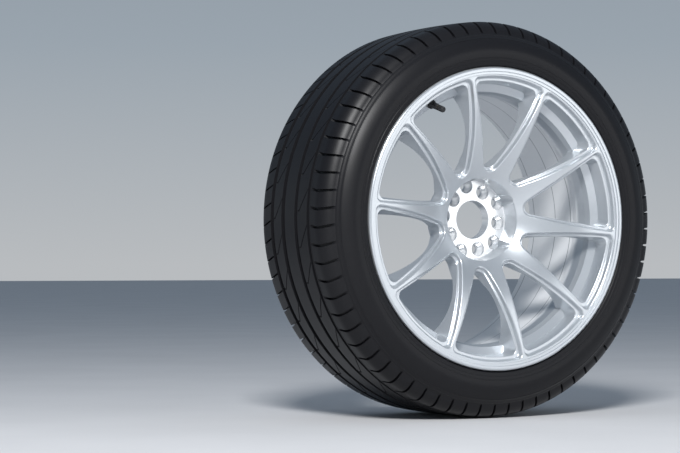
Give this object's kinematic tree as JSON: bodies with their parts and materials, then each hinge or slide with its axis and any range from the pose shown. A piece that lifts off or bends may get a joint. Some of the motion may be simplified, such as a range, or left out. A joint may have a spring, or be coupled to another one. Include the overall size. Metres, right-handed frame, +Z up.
{
  "type": "car wheel with tyre",
  "caption": "Road-car alloy wheel with slim curved spokes, a stepped rim edge and twin bolt circles, fitted with a low-profile radial tyre and a snap-in valve.",
  "frame": {"origin": "on the axle, at the face that bolts against the hub", "axes": "+Y along the axle towards the car, the wheel's front looks along -Y, +Z up"},
  "size_m": [0.653, 0.2488, 0.6532],
  "materials": {
    "tyre": "satin",
    "alloy": "satin",
    "valve_rubber": "matte",
    "brass": "satin",
    "seal": "matte",
    "steel": "satin",
    "cap_plastic": "matte"
  },
  "bodies": {
    "wheel": {"tyre": "tyre", "alloy_wheel": "alloy", "valve_rubber_body": "valve_rubber", "valve_stem_tube": "brass", "valve_core_housing": "brass", "valve_core_seal": "seal", "valve_core_spring": "steel"},
    "core_pin": {"valve_core_pin": "brass", "valve_core_gasket": "seal"},
    "cap": {"valve_cap": "cap_plastic", "valve_cap_seal": "seal"}
  },
  "joints": [
    {"name": "cap_off", "type": "slide", "parent": "wheel", "child": "cap", "axis": [0.2106, -0.9092, -0.359], "range_m": [0, 0.03]},
    {"name": "pin_press", "type": "slide", "parent": "wheel", "child": "core_pin", "axis": [-0.2106, 0.9092, 0.359], "range_m": [0, 0.0012], "stiffness_N_per_m": 1500, "springref_m": -0.002, "deforming": ["valve_core_spring"]}
  ]
}
